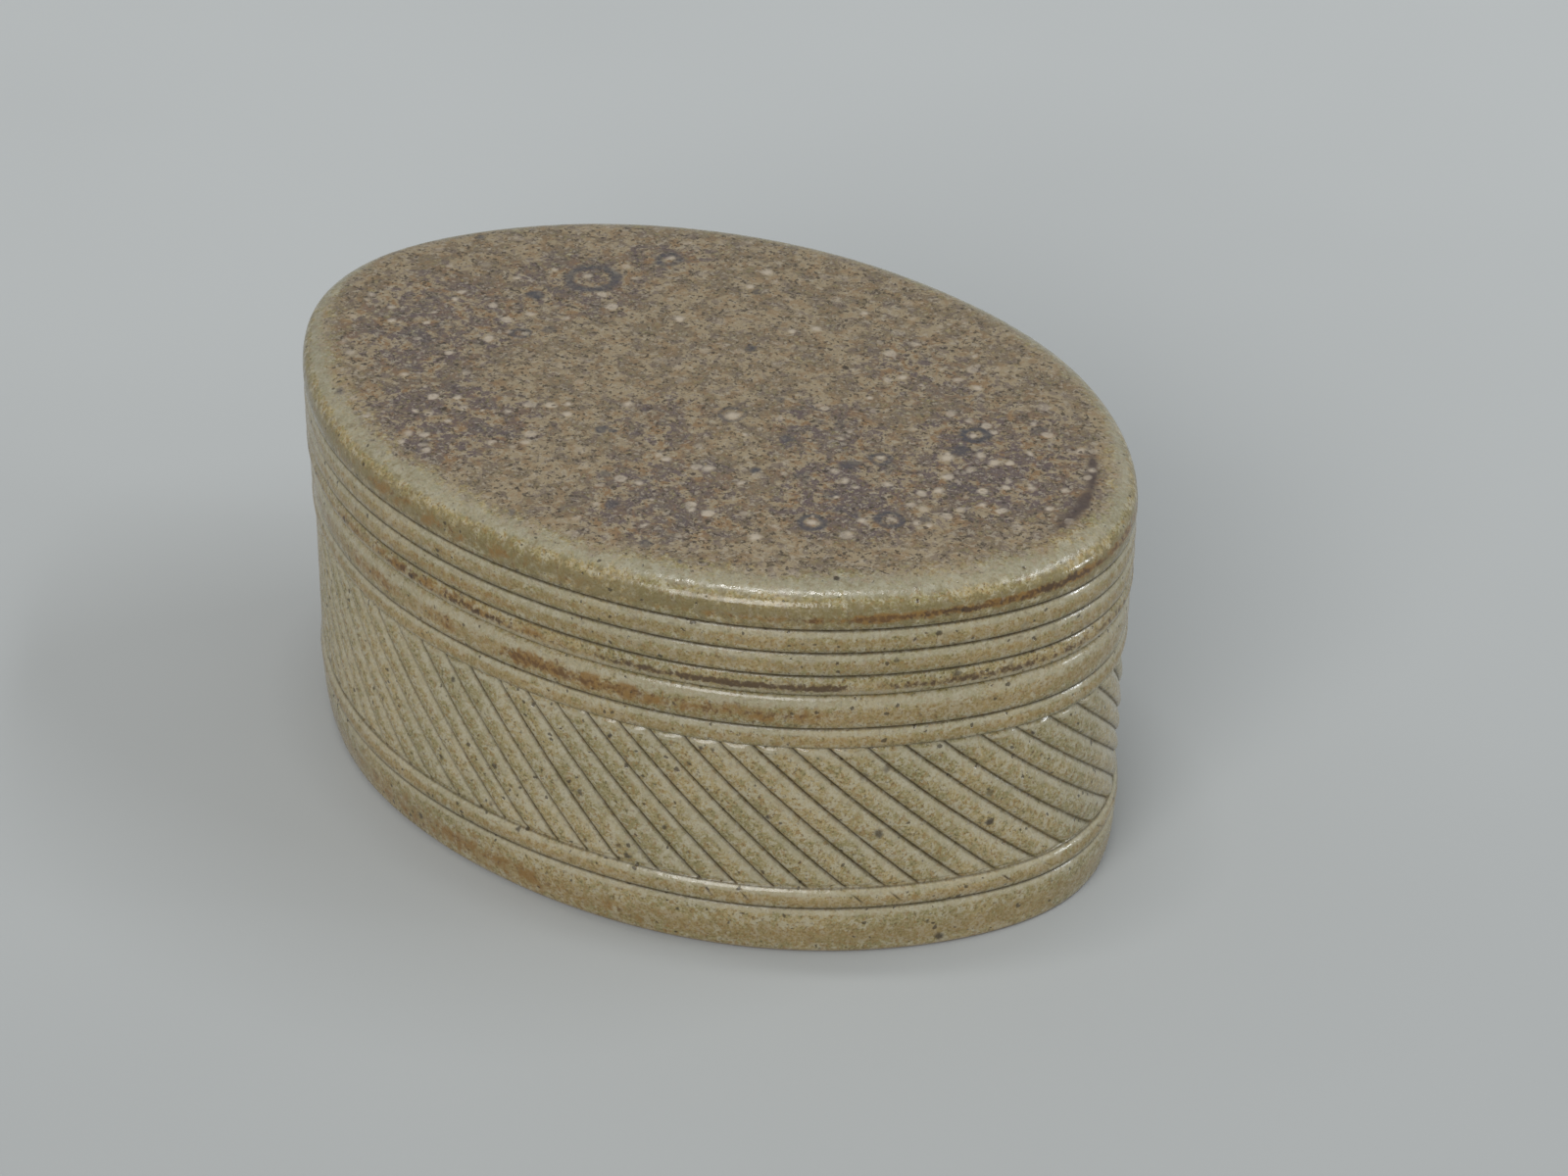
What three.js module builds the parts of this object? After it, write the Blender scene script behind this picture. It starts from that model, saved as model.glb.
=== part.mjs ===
// Oval stoneware box: a deep body with a slanting fluted panel and a cap lid
// that sits over the body's inner flange.
// Millimetres, +Z up, long axis along X. The origin is under the middle of the foot.
import * as THREE from 'three';

// Driving dimensions, the oval outline. It is measured over the lid, the widest piece.
const ovalLength = 150;
const ovalWidth = 106.4;
const endRadius = 32.5; // radius at the very ends
const cornerFullness = 0.18; // a fuller curve between the sides and the ends
const endFlatness = 0.12; // blunter ends

// Heights of the bands, from the foot up
const footHeight = 9.3;
const lowerBandHeight = 3.95;
const panelHeight = 27.0;
const upperBandHeight = 3.8;
const rollHeight = 6.15;
const seatGap = 0.3; // between the resting faces of the body and the lid
const skirtHeight = 3.75; // lid's lowest band, from its lower edge to its first line
const lidBandHeight = 4.2; // each of the lid's two bands between lines
const lidWallHeight = 6.85; // from the lid's highest line to its flat top

// How far each face stands in from the lid's outline
const bodyInset = 0.6;
const footInset = 0.7;
const panelInset = 0.8;
const footTaper = 0.7; // the foot draws in this much more towards its bottom

// Small shapes of the outside
const lineWidth = 0.9; // incised lines
const lineDepth = 0.5;
const footRound = 1.2;
const rollRound = 1.4;
const lidEdgeRound = 0.8;
const bandSwell = 0.2; // the bands swell slightly between their lines
const shoulderRun = 5.5; // the shoulder's rounding, measured inwards
const shoulderDrop = 3.1; // and downwards
const topDome = 0.4;

// Flutes: narrow cuts between broad soft ridges, slanting down to the right
const fluteCount = 68;
const fluteDepth = 0.7;
const fluteLean = 27.0; // how far a cut runs sideways from its top to its bottom
const ledgeHeight = 0.6; // the ridges round over within this height at both ends of the panel

// Shares: places across one flute with the part of fluteDepth there, how much the cuts bow,
// and where the rows of the panel lie
const fluteShares = [[0, 1], [0.14, 0.3], [0.5, 0], [0.86, 0.3]];
const fluteBowShare = 0.12;
const panelRowShares = [0, 0.2, 0.4, 0.6, 0.8, 1];

// Inside
const bodyWall = 7.0;
const floorThickness = 6.5;
const floorRound = 6.0;
const flangeHeight = 6.0;
const flangeThickness = 3.2;
const flangeRound = 1.0;
const flangeClearance = 0.7; // between the flange and the inside of the lid
const lidThickness = 6.0;
const lidInnerRound = 3.0;

// Columns of points round the plain bands, and steps in a rounded edge
const plainColumns = 90;
const edgeSteps = 3;
const shoulderSteps = 5;

// Levels, stacked from the band heights
const lowerLine = footHeight;
const panelBottom = lowerLine + lowerBandHeight;
const panelTop = panelBottom + panelHeight;
const upperLine = panelTop + upperBandHeight;
const seatLevel = upperLine + rollHeight;
const flangeTop = seatLevel + flangeHeight;
const lidBottom = seatLevel + seatGap;
const lidLines = [0, 1, 2].map((line) => lidBottom + skirtHeight + line * lidBandHeight);
const lidTop = lidLines[2] + lidWallHeight;
const recessTop = lidTop - lidThickness;

// Insets of the inner faces, so that the lid's inside follows the body's flange
const cavityInset = bodyInset + bodyWall;
const flangeInset = cavityInset - flangeThickness;
const lidInnerInset = flangeInset - flangeClearance;
const lidInset = bandSwell; // its swelling bands reach the outline
const panelFloor = panelInset + fluteDepth;

// The outline as a support function: how far out it lies along its normal at angle t.
// Moving it in by an inset keeps every wall equally thick all the way round.
const middleReach = (ovalLength + ovalWidth) / 4 - cornerFullness + endFlatness;
const tipExcess = ovalWidth - ovalLength / 2 - endRadius;
const endTerm = (tipExcess - 16 * cornerFullness + 64 * endFlatness) / 32;
const ovalTerm = (ovalLength - ovalWidth) / 4 - endTerm;

// The outline's waves: how many there are round it, and how far each one reaches
const outlineWaves = [[2, ovalTerm], [4, cornerFullness], [6, endTerm], [8, -endFlatness]];

function outlinePoint(t, inset) {
  let reach = middleReach - inset;
  let slope = 0;
  outlineWaves.forEach(([count, height]) => {
    reach += height * Math.cos(count * t);
    slope -= count * height * Math.sin(count * t);
  });
  return new THREE.Vector2(
    reach * Math.cos(t) - slope * Math.sin(t),
    reach * Math.sin(t) + slope * Math.cos(t),
  );
}

// Lengths along the outline at equal steps of the normal's angle
const outlineSteps = 2880;
const stepAngle = (2 * Math.PI) / outlineSteps;
const lengthSoFar = [0];
for (let step = 1; step <= outlineSteps; step++) {
  const from = outlinePoint((step - 1) * stepAngle, 0);
  const to = outlinePoint(step * stepAngle, 0);
  lengthSoFar.push(lengthSoFar[step - 1] + from.distanceTo(to));
}
const perimeter = lengthSoFar[outlineSteps];

// The normal's angle at a place along the outline, where one whole turn is 1
function angleAt(place) {
  const length = (place - Math.floor(place)) * perimeter;
  let low = 0;
  let high = outlineSteps;
  while (high - low > 1) {
    const middle = Math.floor((low + high) / 2);
    if (lengthSoFar[middle] <= length) {
      low = middle;
    } else {
      high = middle;
    }
  }
  const part = (length - lengthSoFar[low]) / (lengthSoFar[high] - lengthSoFar[low]);
  return (low + part) * stepAngle;
}

const plainPlaces = Array.from({ length: plainColumns }, (_, column) => column / plainColumns);

// A closed surface of rings that follow each other, from its first middle point to its last
class RingSurface {
  constructor(firstLevel) {
    this.positions = [];
    this.indices = [];
    this.previous = null;
    this.firstPoint = this.point(0, 0, firstLevel);
  }

  point(x, y, z) {
    this.positions.push(x, y, z);
    return this.positions.length / 3 - 1;
  }

  // Adds a ring at one level; insets holds one value for each place, or one for all
  ring(z, insets, places = plainPlaces) {
    const points = places.map((place, index) => {
      const inset = Array.isArray(insets) ? insets[index] : insets;
      const spot = outlinePoint(angleAt(place), inset);
      return this.point(spot.x, spot.y, z);
    });
    const added = { points, places };
    if (this.previous === null) {
      points.forEach((spot, index) => {
        this.indices.push(this.firstPoint, points[(index + 1) % points.length], spot);
      });
    } else if (this.previous.points.length === points.length) {
      this.joinColumns(this.previous, added);
    } else {
      this.joinUneven(this.previous, added);
    }
    this.previous = added;
  }

  // Adds plain rings through a list of [level, inset]
  rings(profile) {
    profile.forEach(([z, inset]) => this.ring(z, inset));
  }

  joinColumns(from, to) {
    const count = from.points.length;
    for (let index = 0; index < count; index++) {
      const next = (index + 1) % count;
      this.indices.push(from.points[index], from.points[next], to.points[next]);
      this.indices.push(from.points[index], to.points[next], to.points[index]);
    }
  }

  // Joins rings of differing columns, moving on along whichever has the nearer next place
  joinUneven(from, to) {
    const placeAt = (ring, index) => {
      const count = ring.points.length;
      const turns = Math.floor(index / count);
      return ring.places[index - turns * count] + turns;
    };
    const pointAt = (ring, index) => {
      const count = ring.points.length;
      return ring.points[index - Math.floor(index / count) * count];
    };
    let start = 0;
    while (placeAt(to, start) > placeAt(from, 0)) start -= 1;
    while (placeAt(to, start + 1) <= placeAt(from, 0)) start += 1;
    let i = 0;
    let j = start;
    while (i < from.points.length || j < start + to.points.length) {
      const fromDone = i === from.points.length;
      const toDone = j === start + to.points.length;
      if (toDone || (!fromDone && placeAt(from, i + 1) <= placeAt(to, j + 1))) {
        this.indices.push(pointAt(from, i), pointAt(from, i + 1), pointAt(to, j));
        i += 1;
      } else {
        this.indices.push(pointAt(from, i), pointAt(to, j + 1), pointAt(to, j));
        j += 1;
      }
    }
  }

  // Closes the surface on a last middle point
  close(lastLevel) {
    const last = this.point(0, 0, lastLevel);
    const { points } = this.previous;
    points.forEach((spot, index) => {
      this.indices.push(spot, points[(index + 1) % points.length], last);
    });
    const geometry = new THREE.BufferGeometry();
    geometry.setAttribute('position', new THREE.Float32BufferAttribute(this.positions, 3));
    geometry.setIndex(this.indices);
    geometry.computeVertexNormals();
    return geometry;
  }
}

// A quarter round between two points of a profile, leaving the first one upright or level
function rounded(from, to, steps, leavesUpright) {
  return Array.from({ length: steps + 1 }, (_, step) => {
    const turn = (Math.PI / 2) * (step / steps);
    const rise = leavesUpright ? Math.sin(turn) : 1 - Math.cos(turn);
    const run = leavesUpright ? 1 - Math.cos(turn) : Math.sin(turn);
    return [from[0] + (to[0] - from[0]) * rise, from[1] + (to[1] - from[1]) * run];
  });
}

// An incised line between two faces: its two edges and its bottom
function incisedLine(level, insetBelow, insetAbove) {
  return [
    [level - lineWidth / 2, insetBelow],
    [level, Math.max(insetBelow, insetAbove) + lineDepth],
    [level + lineWidth / 2, insetAbove],
  ];
}

// The middle of a band between two lines, standing out a little
function swell(lowLevel, highLevel, inset) {
  return [(lowLevel + highLevel) / 2, inset - bandSwell];
}

// One row of the fluted panel, whose columns keep to the slanting cuts. At both ends of the
// panel the ridges round over, down to the bottom of the cuts.
function addFluteRow(surface, z, atEnd) {
  const down = (panelTop - z) / panelHeight;
  const sideways = fluteLean * (down - fluteBowShare * down * (1 - down));
  const places = [];
  const insets = [];
  for (let flute = 0; flute < fluteCount; flute++) {
    fluteShares.forEach(([across, depthShare]) => {
      places.push((flute + across) / fluteCount + sideways / perimeter);
      insets.push(atEnd ? panelFloor : panelInset + fluteDepth * depthShare);
    });
  }
  surface.ring(z, insets, places);
}

function addFlutes(surface) {
  const lowest = panelBottom + lineWidth / 2;
  const highest = panelTop - lineWidth / 2;
  const ridgeLow = lowest + ledgeHeight;
  const ridgeHigh = highest - ledgeHeight;
  addFluteRow(surface, lowest, true);
  panelRowShares.forEach((share) => {
    addFluteRow(surface, ridgeLow + (ridgeHigh - ridgeLow) * share, false);
  });
  addFluteRow(surface, highest, true);
}

function bodyGeometry() {
  const surface = new RingSurface(0);
  const footFace = footInset + footTaper;
  surface.rings(rounded([0, footFace + footRound], [footRound, footFace], edgeSteps, false));
  surface.rings(incisedLine(lowerLine, footInset, bodyInset));
  surface.rings([swell(lowerLine, panelBottom, bodyInset)]);
  surface.rings([[panelBottom - lineWidth / 2, bodyInset], [panelBottom, panelFloor]]);
  addFlutes(surface);
  surface.rings([[panelTop, panelFloor], [panelTop + lineWidth / 2, bodyInset]]);
  surface.rings([swell(panelTop, upperLine, bodyInset)]);
  surface.rings(incisedLine(upperLine, bodyInset, bodyInset));
  surface.rings([swell(upperLine, seatLevel, bodyInset)]);
  const rollEdge = [seatLevel, bodyInset + rollRound];
  surface.rings(rounded([seatLevel - rollRound, bodyInset], rollEdge, edgeSteps, true));
  surface.rings([[seatLevel, flangeInset]]);
  const flangeShoulder = flangeTop - flangeRound;
  const flangeEdge = [flangeTop, flangeInset + flangeRound];
  surface.rings(rounded([flangeShoulder, flangeInset], flangeEdge, edgeSteps, true));
  const mouthEdge = [flangeTop, cavityInset - flangeRound];
  surface.rings(rounded(mouthEdge, [flangeShoulder, cavityInset], edgeSteps, false));
  const floorEdge = [floorThickness, cavityInset + floorRound];
  surface.rings(rounded([floorThickness + floorRound, cavityInset], floorEdge, edgeSteps, true));
  return surface.close(floorThickness);
}

function lidGeometry() {
  const surface = new RingSurface(recessTop);
  const innerEdge = [recessTop - lidInnerRound, lidInnerInset];
  surface.rings(rounded([recessTop, lidInnerInset + lidInnerRound], innerEdge, edgeSteps, false));
  surface.rings([[lidBottom, lidInnerInset]]);
  const edge = [lidBottom + lidEdgeRound, lidInset];
  surface.rings(rounded([lidBottom, lidInset + lidEdgeRound], edge, edgeSteps, false));
  surface.rings(incisedLine(lidLines[0], lidInset, lidInset));
  surface.rings([swell(lidLines[0], lidLines[1], lidInset)]);
  surface.rings(incisedLine(lidLines[1], lidInset, lidInset));
  surface.rings([swell(lidLines[1], lidLines[2], lidInset)]);
  surface.rings(incisedLine(lidLines[2], lidInset, lidInset));
  const topEdge = [lidTop - topDome, lidInset + shoulderRun];
  surface.rings(rounded([topEdge[0] - shoulderDrop, lidInset], topEdge, shoulderSteps, true));
  return surface.close(lidTop);
}

// Salt-glazed stoneware, tan with an olive cast
function glaze(color) {
  return new THREE.MeshStandardMaterial({ color, roughness: 0.35, metalness: 0 });
}

const body = new THREE.Mesh(bodyGeometry(), glaze(0x7d7156));
body.name = 'box_body';

const lid = new THREE.Mesh(lidGeometry(), glaze(0x827662));
lid.name = 'lid';

const group = new THREE.Group();
group.add(body, lid);

export default group;
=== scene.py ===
"""Oval salt-glazed stoneware box: a fluted body and a cap lid that lifts off.

Metres, +Z up, long axis along X, the foot's middle at the origin, as in the frame.
"""
import math
from collections import namedtuple

import bmesh
import bpy
import numpy as np
from mathutils import Matrix, Vector


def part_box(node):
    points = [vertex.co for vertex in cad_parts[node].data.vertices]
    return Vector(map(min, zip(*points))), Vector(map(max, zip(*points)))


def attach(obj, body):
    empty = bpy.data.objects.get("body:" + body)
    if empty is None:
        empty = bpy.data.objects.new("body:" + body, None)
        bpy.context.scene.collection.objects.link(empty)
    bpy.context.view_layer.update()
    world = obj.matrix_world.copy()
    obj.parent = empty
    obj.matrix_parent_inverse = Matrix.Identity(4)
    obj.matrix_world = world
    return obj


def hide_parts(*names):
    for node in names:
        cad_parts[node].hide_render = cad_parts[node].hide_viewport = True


bl_info = {
    "name": "Oval Stoneware Box",
    "version": (1, 0, 0),
    "blender": (4, 5, 0),
    "location": "View3D > Sidebar > Stoneware",
    "description": "Models an oval salt-glazed box with a fluted body and a lift-off lid",
    "category": "Add Mesh",
}

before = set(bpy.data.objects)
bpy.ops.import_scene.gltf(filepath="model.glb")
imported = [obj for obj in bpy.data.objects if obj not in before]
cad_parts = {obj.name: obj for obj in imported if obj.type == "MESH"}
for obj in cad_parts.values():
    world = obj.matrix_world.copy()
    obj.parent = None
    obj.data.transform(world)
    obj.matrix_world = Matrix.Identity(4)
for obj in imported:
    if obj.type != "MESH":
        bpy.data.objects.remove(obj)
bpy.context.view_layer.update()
lid_low, lid_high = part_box("lid")

MM = 0.001
FLUTES = 68
LID_COLUMNS = 640
FLANGE_WALL = 3.2 * MM
LID_ROOM = 0.7 * MM
# Ticks under the panel: how far below it, how long, how wide and how deep
TICK_BELOW, TICK_LENGTH, TICK_WIDTH, TICK_DEPTH = 2.0 * MM, 0.75 * MM, 0.3 * MM, 0.22 * MM
# How far the flutes' ends round over
FLUTE_END = 0.8 * MM
# From the shoulder to the lid's middle, about the same all round
SHOULDER_TO_MIDDLE = 50 * MM


def length(name, description, default):
    """A size in metres that a user can change."""
    return bpy.props.FloatProperty(
        name=name, description=description, default=default, unit="LENGTH", precision=5)


def turned(name, description, degrees):
    """An angle that a user can change."""
    return bpy.props.FloatProperty(
        name=name, description=description, default=math.radians(degrees), subtype="ANGLE")


def colour(name, description, default):
    """A colour that a user can change."""
    return bpy.props.FloatVectorProperty(
        name=name, description=description, default=default, min=0, max=1, subtype="COLOR")


class BoxSizes(bpy.types.PropertyGroup):
    """Sizes of the box. Heights of the bands stack up from the foot."""

    oval_length: length("Length", "Length of the oval over the lid", lid_high[0] - lid_low[0])
    oval_width: length("Width", "Width of the oval over the lid", lid_high[1] - lid_low[1])
    end_radius: length("End radius", "Radius at the very ends", 32.5 * MM)
    corner_fullness: length("Corners", "Fuller curve between sides and ends", 0.18 * MM)
    end_flatness: length("Blunt ends", "How much the ends are flattened", 0.12 * MM)
    foot_height: length("Foot", "Height of the plain foot band", 9.3 * MM)
    foot_taper: length("Foot taper", "How much the foot draws in to its bottom", 0.7 * MM)
    lower_band: length("Lower band", "Band between the foot line and the panel", 3.95 * MM)
    panel_height: length("Panel", "Height of the fluted panel", 27.0 * MM)
    upper_band: length("Upper band", "Band above the panel", 3.8 * MM)
    roll_height: length("Roll", "Rounded band at the body's top", 6.15 * MM)
    skirt_height: length("Skirt", "Lid's lowest band", 3.75 * MM)
    lid_band: length("Lid band", "Each of the lid's two bands between lines", 4.2 * MM)
    line_depth: length("Line depth", "Depth of an incised line", 0.5 * MM)
    line_under: length("Line under", "Height of a line's gentle lower side", 1.5 * MM)
    line_over: length("Line over", "Height of a line's steep upper side", 0.35 * MM)
    flute_depth: length("Flute depth", "Depth of a flute's cut", 0.7 * MM)
    flute_lean: length("Flute lean", "How far a flute runs sideways", 26.0 * MM)
    body_wall: length("Body wall", "Thickness of the body's wall", 7.0 * MM)
    flange_height: length("Flange", "Height of the inner flange over the seat", 6.0 * MM)


class GlazeColours(bpy.types.PropertyGroup):
    """Colours of the salt glaze over iron-bearing clay."""

    tan: colour("Tan", "Warm ground of the glaze", (0.338, 0.260, 0.120))
    olive: colour("Olive", "Cooler green-brown patches", (0.220, 0.190, 0.083))
    # Mist is partly the rim's pale glaze and partly a painted reflection of the window
    mist: colour("Mist", "Cooler, greyer film on the lid's rim", (0.290, 0.275, 0.205))
    # Film is also painted as pale strips on the bands and flutes, standing in for highlights
    film: colour("Film", "Pale salt film where the glaze lies thick", (0.400, 0.365, 0.262))
    ochre: colour("Ochre", "Brown grains and the middles of the bands", (0.240, 0.152, 0.052))
    # Umber also darkens the cut lines, partly as painted shade
    umber: colour("Umber", "Dark iron specks and cut lines", (0.034, 0.023, 0.012))
    rust: colour("Rust", "Orange-brown iron stain", (0.215, 0.113, 0.025))
    burnt: colour("Burnt rust", "Darker middle of the iron stain", (0.105, 0.050, 0.015))
    dust: colour("Dust", "Drier, darker ground of the lid's top", (0.167, 0.123, 0.070))
    sand: colour("Sand", "Paler ground of the lid's top", (0.284, 0.222, 0.136))
    pale: colour("Pale grains", "Pale grains on the lid's top", (0.345, 0.298, 0.225))
    russet: colour("Russet", "Red-brown grains on the lid's top", (0.212, 0.120, 0.048))
    plum: colour("Plum", "Purple-brown bloom on the lid", (0.084, 0.057, 0.062))
    slate: colour("Slate", "Blue-grey marks on the lid", (0.045, 0.046, 0.055))
    cream: colour("Cream", "Pale dots on the lid", (0.46, 0.39, 0.30))
    mustard: colour("Mustard", "Yellow-brown glaze on the lid's shoulder", (0.165, 0.128, 0.052))
    smoke: colour("Smoke", "Smudges inside the lid's rim", (0.060, 0.040, 0.034))
    stain: colour("Stain", "Brown-black stain on the lid's side", (0.066, 0.038, 0.018))
    bare_clay: colour("Bare clay", "Unglazed clay under the foot", (0.36, 0.27, 0.18))
    damp_clay: colour("Darker clay", "Darker patches of the bare clay", (0.27, 0.19, 0.12))


class StageSettings(bpy.types.PropertyGroup):
    """Camera, floor and light round the box."""

    azimuth: turned("Azimuth", "Camera's turn round the box", 33.5)
    elevation: turned("Elevation", "Camera's height over the horizon", 33.26)
    roll: turned("Roll", "Camera's tilt about its own axis", 0.69)
    distance: length("Distance", "From the camera to the middle of the box", 739.5 * MM)
    aside: length("Aside", "How far the camera's axis passes beside the box", 12.2 * MM)
    below: length("Below", "How far the camera's axis passes below the middle", 2.85 * MM)
    lens: bpy.props.FloatProperty(
        name="Lens", description="Focal length in millimetres on a 36 mm sensor", default=102.3)
    floor: colour("Floor", "Pale grey floor", (0.413, 0.425, 0.420))


class Oval:
    """The outline as a support function, so an inset keeps a wall equally thick."""

    SAMPLES = 5760

    def __init__(self, sizes):
        across, along = sizes.oval_width, sizes.oval_length
        corner, blunt = sizes.corner_fullness, sizes.end_flatness
        self.middle = (along + across) / 4 - corner + blunt
        # The radius at the tips comes to width - length / 2 - 16 corner + 64 blunt - 32 tip
        tip = (across - along / 2 - sizes.end_radius - 16 * corner + 64 * blunt) / 32
        self.waves = ((2, (along - across) / 4 - tip), (4, corner), (6, tip), (8, -blunt))
        self.angles = np.linspace(0, 2 * np.pi, self.SAMPLES + 1)
        x, y = self.at_angle(self.angles, 0)
        steps = np.hypot(np.diff(x), np.diff(y))
        self.shares = np.concatenate([[0], np.cumsum(steps)])
        self.perimeter = self.shares[-1]
        self.shares /= self.perimeter

    def at_angle(self, angle, inset):
        reach = self.middle - inset
        slope = np.zeros_like(angle)
        for count, height in self.waves:
            reach = reach + height * np.cos(count * angle)
            slope = slope - count * height * np.sin(count * angle)
        x = reach * np.cos(angle) - slope * np.sin(angle)
        y = reach * np.sin(angle) + slope * np.cos(angle)
        return x, y

    def at_place(self, place, inset):
        """Points at places round the outline: 0 is the right end, 0.25 the back, 0.75 the front."""
        return self.at_angle(np.interp(place % 1, self.shares, self.angles), inset)


# A step of a profile: the height and inset that it reaches, in how many rows and in what
# shape, and how much of the oval it keeps where a flat face runs in to the middle
Step = namedtuple("Step", "z inset rows shape kept", defaults=("straight", 1.0))


def reach_of(shape, t):
    """How far along its rise and its run a step is at t from 0 to 1."""
    turn = t * np.pi / 2
    if shape == "over":
        return np.sin(turn), 1 - np.cos(turn)
    if shape == "under":
        return 1 - np.cos(turn), np.sin(turn)
    if shape == "cut_in":
        return t, t ** 2.2
    if shape == "cut_out":
        return t, 1 - (1 - t) ** 2.2
    return t, t


def profile_at(steps, level, swell):
    """Height, inset and kept share of every point, from its level along the profile."""
    z = np.zeros_like(level)
    inset = np.zeros_like(level)
    kept = np.ones_like(level)
    index = np.clip(np.ceil(level - 1e-4).astype(int), 1, len(steps) - 1)
    for number in range(1, len(steps)):
        here = index == number
        t = level[here] - (number - 1)
        start, end = steps[number - 1], steps[number]
        rise, run = reach_of(end.shape, t)
        z[here] = start.z + (end.z - start.z) * rise
        inset[here] = start.inset + (end.inset - start.inset) * run
        if end.shape == "swell":
            inset[here] -= swell * np.sin(np.pi * t) ** 0.6
        kept[here] = start.kept + (end.kept - start.kept) * t
    return z, inset, kept


def waver(place, seed, size, slowest=2, fastest=9):
    """A slow uneven line round the oval, as a hand leaves it."""
    rng = np.random.default_rng(seed)
    total = np.zeros_like(place)
    for turns in range(slowest, fastest + 1):
        phase = rng.uniform(0, 2 * np.pi)
        total += rng.normal() / turns ** 0.7 * np.sin(2 * np.pi * turns * place + phase)
    return size * total


def deselect():
    if bpy.context.mode != "OBJECT":
        bpy.ops.object.mode_set(mode="OBJECT")
    bpy.ops.object.select_all(action="DESELECT")


def edited(obj):
    """The mesh in edit mode, and where its points keep their levels."""
    mesh = bmesh.from_edit_mesh(obj.data)
    return mesh, mesh.verts.layers.float["level"]


def raise_loops(name, steps, columns, oval):
    """A loop of points, extruded from step to step and cut into rows, closed at both ends."""
    deselect()
    bpy.ops.mesh.primitive_circle_add(
        vertices=columns, radius=oval.middle, fill_type="NOTHING", location=(0, 0, steps[0].z))
    obj = bpy.context.active_object
    obj.name = name
    obj.data.name = name
    bpy.ops.object.transform_apply()
    share = obj.data.attributes.new("column", "FLOAT", "POINT")
    share.data.foreach_set("value", np.arange(columns, dtype=np.float32))
    obj.data.attributes.new("level", "FLOAT", "POINT")
    bpy.ops.object.mode_set(mode="EDIT")
    bpy.ops.mesh.select_mode(type="VERT")
    bpy.ops.mesh.select_all(action="SELECT")
    for number in range(1, len(steps)):
        rise = steps[number].z - steps[number - 1].z
        bpy.ops.mesh.extrude_region_move(TRANSFORM_OT_translate={"value": (0, 0, rise)})
        mesh, level = edited(obj)
        for vert in mesh.verts:
            if vert.select:
                vert[level] = number
        bmesh.update_edit_mesh(obj.data)
    cut_rows(obj, steps)
    close_end(obj, 0)
    close_end(obj, len(steps) - 1)
    bpy.ops.object.mode_set(mode="OBJECT")
    return obj


def cut_rows(obj, steps):
    """Subdivides the upright edges of each step into its rows."""
    bpy.ops.mesh.select_mode(type="EDGE")
    for rows in sorted({step.rows for step in steps[1:] if step.rows > 1}):
        mesh, level = edited(obj)
        for edge in mesh.edges:
            low, high = sorted(vert[level] for vert in edge.verts)
            whole = high - low > 0.9
            edge.select_set(whole and steps[round(high)].rows == rows)
        mesh.select_flush_mode()
        bmesh.update_edit_mesh(obj.data)
        bpy.ops.mesh.subdivide(number_cuts=rows - 1)
    bpy.ops.mesh.select_mode(type="VERT")


def close_end(obj, wanted):
    """Draws the loop at one level together into a single point."""
    bpy.ops.mesh.select_all(action="DESELECT")
    mesh, level = edited(obj)
    for vert in mesh.verts:
        vert.select_set(abs(vert[level] - wanted) < 1e-3)
    mesh.select_flush_mode()
    bmesh.update_edit_mesh(obj.data)
    bpy.ops.mesh.merge(type="CENTER")


def read_points(mesh, name):
    values = np.zeros(len(mesh.vertices), dtype=np.float32)
    mesh.attributes[name].data.foreach_get("value", values)
    return values.astype(float)


def write_points(mesh, **values):
    """Gives every point a number under each name, for the glaze to go by."""
    for name, numbers in values.items():
        attribute = mesh.attributes.new(name, "FLOAT", "POINT")
        attribute.data.foreach_set("value", numbers.astype(np.float32))


def settle(obj, x, y, z):
    """Puts the carved points in place, smooths the shading and turns the faces outwards."""
    mesh = obj.data
    mesh.vertices.foreach_set("co", np.stack([x, y, z], axis=1).astype(np.float32).ravel())
    mesh.update()
    bpy.context.view_layer.objects.active = obj
    bpy.ops.object.mode_set(mode="EDIT")
    bpy.ops.mesh.select_all(action="SELECT")
    bpy.ops.mesh.normals_make_consistent(inside=False)
    bpy.ops.object.mode_set(mode="OBJECT")
    bpy.ops.object.shade_smooth()


def bounded(value):
    return np.clip(value, 0, 1)


def near(value, middle, width):
    """A soft bump, 1 at the middle and falling off over the width."""
    return np.exp(-((value - middle) / width) ** 2)


def turn_from(place, middle):
    """Signed distance round the outline, in turns, from -0.5 to 0.5."""
    return (place - middle + 0.5) % 1 - 0.5


def near_turn(place, middle, width):
    """The same soft bump round the outline, in turns."""
    return near(turn_from(place, middle), 0, width)


def line_dark(level, lines, above, below):
    """How dark the lines are, partly iron in the cuts and partly painted shade: full at the bottom
    of each and a little above and below it.
    """
    dark = np.zeros_like(level)
    for number in lines:
        off = level - number
        dark = np.maximum(dark, np.where(off > 0, above - 1.4 * off, below + 4.8 * off))
    return bounded(dark)


# Shares of a flute's width where its columns lie: close together at the cut
ACROSS_SHARES = (0.0, 0.035, 0.08, 0.15, 0.28, 0.44, 0.60, 0.75, 0.87, 0.95)
CREST_SHARE = 0.30


def incised(level, sizes, face, rows_below, shape_below="swell"):
    """The steps up to a line and through it: gentle under it, steep over it."""
    return [
        Step(level - sizes.line_under, face, rows_below, shape_below),
        Step(level, face + sizes.line_depth, 6, "cut_in"),
        Step(level + sizes.line_over, face, 3, "cut_out"),
    ]


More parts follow.
